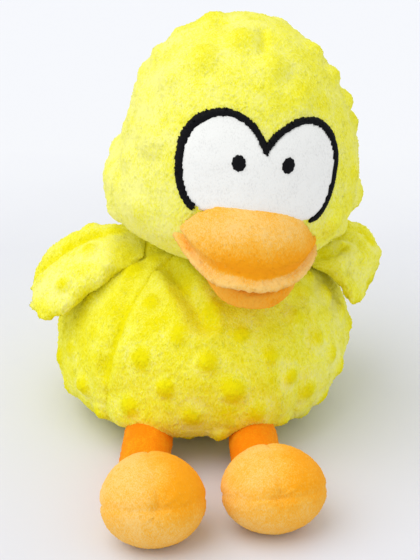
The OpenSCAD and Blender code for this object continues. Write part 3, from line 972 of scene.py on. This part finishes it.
class DUCK_OT_bill(bpy.types.Operator):
    """Makes the padded upper bill with its topstitched lip, and the lower bill"""

    bl_idname = "duck.bill"
    bl_label = "Bill"

    def execute(self, context):
        self.upper(context.scene.duck.plush.groove_depth / MM)
        self.lower()
        return {"FINISHED"}

    def upper(self, depth):
        """A padded dome, sewn to its turned-up lip by a groove of that depth."""
        nodes = ["bill_upper_top_panel", "bill_upper_under_panel", "bill_upper_stuffing"]
        made = skin("bill_upper", nodes, 1.3, finish_of("orange plush"))
        finer(made, 1)
        points = places(made.data)
        x, y, z = in_bill(points).T
        ring, turned = np.hypot(x, y), np.arctan2(x, -y)
        lift = 2.2 * smoothstep(-z, 0.2, 2.4) * smoothstep(ring, 14, 23)
        lift += by_side(x, *UPPER_CORNERS) * smoothstep(np.abs(x), 12, 28) * smoothstep(z, 18, 6)
        lift += self.rise(x, y) * smoothstep(z, 16, 5)
        wider = by_side(x, *DOME_SPREAD) * x * smoothstep(z, 1.5, 10)
        put(made.data, points + FACE_X * wider[:, None] + FACE_Z * lift[:, None])
        groove = np.hypot(ring - DOME_R - 0.2, (z - 1.6) * 0.8)
        sew(made, groove, turned * 24, depth, width=0.85, pucker=0.12, seed=1.0)
        seam = np.hypot(ring - BILL_R, z + 0.5)
        sew(made, seam, turned * BILL_R, depth=0.5, width=0.6, pucker=0.1, seed=2.0)
        lip = smoothstep(ring, DOME_R + 0.4, DOME_R + 1.4) * smoothstep(z, 4, 2)
        nap(made, rough=0.35, seed=31, pile=0.7 + 0.45 * lip)
        # Painted shade: the dome is coloured deeper towards its low front and the duck's left, away from the
        # light. The lip is paler and the groove darker.
        dome = smoothstep(DOME_R + 1.2 - ring, 0, 1.2) * smoothstep(z, 0.8, 4.0)
        low = smoothstep(z, 24, 6) * smoothstep(-y, -4, 16) * smoothstep(x, -26, 0)
        deepen(made, (0.95 * low + 0.1) * dome - 0.25 + 0.9 * bell(groove, 0.8))
        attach(made, "head")
        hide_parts(*nodes)

    def lower(self):
        """A soft flap that hangs under the lip and follows its corners up."""
        nodes = ["bill_lower_top_panel", "bill_lower_under_panel"]
        made = skin("bill_lower_cover", nodes, 1.1, finish_of("orange plush in painted shade"))
        finer(made, 1)
        points = places(made.data)
        x, y, z = in_bill(points).T
        sag = smoothstep(-y, 4, 20) * smoothstep(-z, 2.5, 6)
        lift = by_side(x, *LOWER_CORNERS) * smoothstep(np.abs(x), 9, 24)
        full = self.rise(x, y) + 0.2 + 1.8 * smoothstep(-x, 2, 14)
        lift += full * smoothstep(z, -7, -2.5) * smoothstep(-y, 0, 8)
        aside = (1.6 - 0.13 * np.minimum(x, 0)) * smoothstep(-y, 0, 10)
        points = points + FACE_Z * (lift - 0.9 * sag)[:, None] - FACE_Y * (0.8 * sag)[:, None]
        put(made.data, points + FACE_X * aside[:, None])
        nap(made, rough=0.3, seed=33, pile=0.7)
        # Lightens the painted shade of the lower bill's plush
        deepen(made, -0.25)
        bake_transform(made)
        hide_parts(*nodes)

    @staticmethod
    def rise(x, y):
        """How far the lip turns up in front, most on the duck's left."""
        return (4.0 + 1.2 * smoothstep(x, 0, 14) - 3.2 * smoothstep(-x, 4, 24)) * smoothstep(-y, -8, 4)


class DUCK_OT_wings(bpy.types.Operator):
    """Makes the soft wings, seamed all round, folded lengthwise and sewn to the shoulders"""

    bl_idname = "duck.wings"
    bl_label = "Wings"

    def execute(self, context):
        m = context.scene.duck.minky
        width, height = m.dot_width / MM * 0.95, m.dot_height / MM * 0.9
        for side, name in SIDES:
            nodes = [f"wing_{name}_top_panel", f"wing_{name}_under_panel"]
            made = skin(f"wing_{name}_cover", nodes, 2.4, finish_of("yellow minky"))
            root = joint_at(f"wing_{name}_flap")
            out = (places(made.data)[:, 0] - root[0]) * side
            swell(made, smoothstep(out, 6, 1), cap=2.0, pressure=5.0, spare=0.04)
            finer(made, 1)
            self.fold(made, name, side, root)
            dots = self.dots(caster(made), root, side, m.wing_row / MM)
            finer(made, 1)
            raise_dots(made, dots, width, height, tint=0.5 + 0.15 * side, seed=51 + side)
            nap(made, rough=0.5, seed=41 + side, pile=1.1)
            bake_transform(made)
            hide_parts(*nodes)
        return {"FINISHED"}

    def fold(self, made, name, side, root):
        """Rolls the front edge up, sinks a valley along the wing and crumples the left one."""
        points, out = places(made.data), places(made.data, "normal")
        front = np.array(JOINTS[f"wing_{name}_flap"]["axis"]) * side
        away = np.cross((0, 0, 1), front) * side
        s, v = (points - root) @ away, -(points - root) @ front
        v = v / self.half_width(s, v)
        along = smoothstep(s, 3, 16) * (1 - 0.5 * smoothstep(s, s.max() - 9, s.max()))
        top = smoothstep(out[:, 2], -0.2, 0.4)
        roll, valley, crest = bell(v + 0.58, 0.32), bell(v - 0.08, 0.17), bell(v - 0.6, 0.28)
        lift = (2.8 * roll - 3.6 * valley + crest) * along * top
        tip, front_edge, back_edge, forwards = WING_SET[name]
        lift += tip * smoothstep(s, 4, 0.8 * s.max()) - front_edge * smoothstep(-v, 0, 0.9) * along
        lift -= back_edge * smoothstep(v, 0, 1) * smoothstep(s, 4, 14)
        points = points + np.array([0, 0, 1]) * lift[:, None]
        points = points + front * (forwards * smoothstep(-v, 0.1, 1) * smoothstep(s, 0, 12))[:, None]
        points = points - away * (5.0 * smoothstep(s, 10, 0))[:, None]
        if side > 0:
            ridges = np.abs(lumps(points, 13, 4)) + 0.5 * np.abs(lumps(points, 6, 9))
            points = points + out * ((1.0 - 3.6 * np.exp(-ridges / 0.14)) * along)[:, None]
            tuck = 10.0 * smoothstep(-v, 0.3, 1) * smoothstep(s, 8, 26) - 2.0 * smoothstep(s, 12, 28)
            points = points - away * tuck[:, None]
        put(made.data, points)
        if side > 0:
            tree = caster(made)
            for line in CRUMPLES:
                crease = [cast(tree, (x, y, WING_OVER), (0, 0, -1)) for x, y in line]
                stroke(made, crease, depth=3.0, width=1.7, bulge=1.2)
            press(made, *LEFT_WING_HOLLOW)
        # Painted shade deepens the valley and the wing's underside, and painted light makes the roll paler
        under = smoothstep(-out[:, 2], -0.1, 0.5)
        deepen(made, (0.45 * valley - 0.15 * roll) * along * top + 0.25 * under)

    @staticmethod
    def half_width(s, v):
        """How far the wing reaches to either side at each place along it."""
        bins = np.linspace(s.min(), s.max(), 14)
        at = np.digitize(s, bins)
        reach = [np.abs(v[at == i]).max() if (at == i).any() else 1.0 for i in range(1, len(bins) + 1)]
        return np.interp(s, bins, reach)

    @staticmethod
    def dots(tree, root, side, pitch):
        """Staggered rows of dots on both cloths of a wing."""
        found = []
        for i in range(5):
            for j in range(-3, 4):
                x, y = root[0] + side * (7 + i * pitch * 0.5), root[1] + (j + (i % 2) / 2) * pitch
                for start, way in ((WING_OVER, -1), (WING_UNDER, 1)):
                    hit = cast(tree, (x, y, start), (0, 0, way))
                    if hit is not None:
                        found.append(hit)
        return np.array(found)


class DUCK_OT_legs(bpy.types.Operator):
    """Stuffs the short legs"""

    bl_idname = "duck.legs"
    bl_label = "Legs"

    def execute(self, context):
        for side, name in SIDES:
            nodes = [f"leg_{name}_cover", f"leg_{name}_stuffing"]
            made = skin(f"leg_{name}_plush", nodes, 1.8, finish_of("orange plush in painted shade"))
            finer(made, 1)
            self.fill(made, name)
            nap(made, rough=0.3, seed=61 + side, pile=0.7)
            # Painted shade: the legs, in shade under the body, are coloured darker still
            deepen(made, 0.3)
            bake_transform(made)
            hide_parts(*nodes)
        return {"FINISHED"}

    @staticmethod
    def fill(made, name):
        """Stuffs the tube out between its gathered ends and draws the upper one up into the body."""
        hip, ankle = joint_at(f"leg_{name}_swing"), joint_at(f"foot_{name}_flex")
        radius, gather = 9.3, (-8.5, -1)
        points = places(made.data)
        long = np.linalg.norm(ankle - hip)
        way = (ankle - hip) / long
        t = (points - hip) @ way
        spoke = points - hip - t[:, None] * way
        far = np.linalg.norm(spoke, axis=1)
        full = radius * smoothstep(t, *gather) * smoothstep(long - t, *gather)
        drawn = np.minimum(t, 0)[:, None] * (0.5 * way - np.array([0, 0, 0.6]))
        put(made.data, points + spoke * (np.maximum(0, full - far) / np.maximum(far, 1))[:, None] + drawn)


class DUCK_OT_feet(bpy.types.Operator):
    """Stuffs the ball feet: two upper cloths and a sole, gathered at the toe"""

    bl_idname = "duck.feet"
    bl_label = "Feet"

    def execute(self, context):
        depth = context.scene.duck.plush.seam_depth / MM
        for side, name in SIDES:
            nodes = [f"foot_{name}_{part}" for part in ("upper_inner", "upper_outer", "sole", "stuffing")]
            made = skin(f"foot_{name}_plush", nodes, 2.6, finish_of("orange plush"))
            ankle = joint_at(f"foot_{name}_flex")
            distance = self.seam(places(made.data), ankle)[0]
            swell(made, bell(distance, 2), cap=0.9, spare=0.02)
            finer(made, 2)
            distance, along, toe, brushed_and_shaded, heel = self.seam(places(made.data), ankle)
            drop = depth * (0.08 + 0.6 * bell(toe, 7) + 0.8 * smoothstep(toe, 21, 27)) * bell(distance, 0.8)
            drop += 0.9 * bell(toe, 3.5) + 0.14 * bell(toe, 9) * np.sin(along * 2.6)
            push_out(made, -drop)
            points = places(made.data)
            middle = points[:, 0].mean()
            points[:, 0] -= (points[:, 0] - middle) * 0.24 * smoothstep(heel, -8, 16)
            put(made.data, points)
            self.flatten(made, *FOOT_SETTLED[name])
            nap(made, rough=0.4, seed=71 + side, pile=0.45)
            # Painted shade: each foot is darker on the side away from the light and on its brushed panel,
            # which is also pile laid the other way; darker at the gathered toe, and a little paler all over
            deep = 0.2 * smoothstep(points[:, 0] - middle, 2, 17) + 0.2 * bell(toe, 9)
            deepen(made, deep + (0.42 - 0.12 * side) * brushed_and_shaded - 0.17 + 0.03 * side)
            above_floor(made)
            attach(made, f"foot_{name}")
            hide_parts(*nodes)
        return {"FINISHED"}

    @staticmethod
    def flatten(made, share, settled):
        """Lets the ball settle, a little wider than it is high, where it came to rest on the floor."""
        points = places(made.data)
        low, middle = points[:, 2].min(), points.mean(axis=0)
        lean, spread = math.radians(22), 1.035
        tall = np.array([0.0, math.sin(lean), math.cos(lean)])
        points = points - ((points - middle) @ tall)[:, None] * tall * share
        points[:, 0] = middle[0] + (points[:, 0] - middle[0]) * spread
        points[:, 2] += low - points[:, 2].min()
        put(made.data, points + np.array(settled))

    @staticmethod
    def seam(points, ankle):
        """Distance from the three seams that meet at the toe, place along them, distance from the toe, the
        cloth that is brushed the other way on the side away from the light, which is also painted with shade,
        and how far back towards the heel."""
        turned = Matrix.Rotation(FOOT_TURN, 3, "Z") @ Matrix.Rotation(FOOT_TILT, 3, "X")
        x, y, z = ((points - ankle) @ np.array(turned)).T
        z = z - (FOOT_HALF - ANKLE_IN)
        ring, angle = np.hypot(x, y), np.arctan2(y, x)
        distance = np.min([from_seam(angle, ring, at) for at in (0, 90, 180)], axis=0)
        toe = np.linalg.norm(np.stack([x, y, z - FOOT_HALF], 1), axis=1)
        brushed_and_shaded = smoothstep(x, -5, 8) * smoothstep(y, -9, 6)
        return distance, z + ring * 0.3 + angle * 4, toe, brushed_and_shaded, -z


class DUCK_OT_stage(bpy.types.Operator):
    """Lays the pale floor, hangs the soft lights and sets the camera at the photograph's angle"""

    bl_idname = "duck.stage"
    bl_label = "Stage"

    def execute(self, context):
        s = context.scene.duck.stage
        bm = bmesh.new()
        bmesh.ops.create_grid(bm, x_segments=4, y_segments=4, size=6.0)
        floor = new_piece("floor", bm, self.floor_material(s))
        self.light(s)
        world = bpy.data.worlds.new("Studio")
        context.scene.world = world
        world.use_nodes = True
        back = world.node_tree.nodes["Background"]
        back.inputs["Color"].default_value = (0.97, 0.98, 1.0, 1)
        back.inputs["Strength"].default_value = s.glow
        self.camera(context.scene, s)
        context.scene.view_settings.view_transform = "Standard"
        return {"FINISHED"}

    @staticmethod
    def floor_material(s):
        made, tree, shader, where = blank_material("pale floor")
        split = tree.nodes.new("ShaderNodeSeparateXYZ")
        tree.links.new(where, split.inputs[0])
        # Painted light: the floor's colour grows lighter towards the back
        depth = reckon(tree, "MULTIPLY", reckon(tree, "ADD", split.outputs["Y"], 0.15), 2.2, True)
        paper = reckon(tree, "MULTIPLY", reckon(tree, "SUBTRACT", grain(tree, where, 6.0, 3.0), 0.5), 0.3)
        fac = reckon(tree, "ADD", depth, paper, True)
        paint = shades(tree, fac, [(0.0, s.near), (0.6, s.near), (0.84, s.far)])
        tree.links.new(paint, shader.inputs["Base Color"])
        shader.inputs["Roughness"].default_value = 0.9
        shader.inputs["Specular IOR Level"].default_value = 0.1
        return made

    @staticmethod
    def light(s):
        data = bpy.data.lights.new("Soft light", "SUN")
        data.energy, data.angle = s.sun, math.radians(60)
        made = bpy.data.objects.new("Soft light", data)
        made.rotation_euler = Vector(LIGHT_WAY).to_track_quat("-Z", "Y").to_euler()
        bpy.context.scene.collection.objects.link(made)

    @staticmethod
    def camera(scene, s):
        aim = Vector(CAMERA_AIM) * MM
        back = Vector((0, -math.cos(s.elevation), math.sin(s.elevation)))
        data = bpy.data.cameras.new("Camera")
        data.lens, data.sensor_width = s.lens, 36
        made = bpy.data.objects.new("Camera", data)
        made.location = aim + back * s.distance
        made.rotation_euler = (-back).to_track_quat("-Z", "Y").to_euler()
        scene.collection.objects.link(made)
        scene.camera = made


class DUCK_PT_panel(bpy.types.Panel):
    """Settings and pieces of the plush duck"""

    bl_idname = "DUCK_PT_panel"
    bl_label = "Plush duck"
    bl_space_type = "VIEW_3D"
    bl_region_type = "UI"
    bl_category = "Plush duck"

    def draw(self, context):
        duck = context.scene.duck
        for group in (duck.minky, duck.plush, duck.face, duck.stage):
            box = self.layout.box()
            for key in group.bl_rna.properties.keys():
                if key not in ("rna_type", "name"):
                    box.prop(group, key)
        for operator in PIECES:
            self.layout.operator(operator.bl_idname)


PIECES = (
    DUCK_OT_stage, DUCK_OT_body, DUCK_OT_head, DUCK_OT_eyes,
    DUCK_OT_bill, DUCK_OT_wings, DUCK_OT_legs, DUCK_OT_feet,
)
CLASSES = (MinkySettings, PlushSettings, FaceSettings, StageSettings, DuckSettings, *PIECES, DUCK_PT_panel)


def register():
    for made in CLASSES:
        bpy.utils.register_class(made)
    bpy.types.Scene.duck = PointerProperty(type=DuckSettings)


def unregister():
    del bpy.types.Scene.duck
    for made in reversed(CLASSES):
        bpy.utils.unregister_class(made)


def main():
    register()
    bpy.ops.duck.stage()
    bpy.ops.duck.body()
    bpy.ops.duck.head()
    bpy.ops.duck.eyes()
    bpy.ops.duck.bill()
    bpy.ops.duck.wings()
    bpy.ops.duck.legs()
    bpy.ops.duck.feet()


if __name__ == "__main__":
    main()
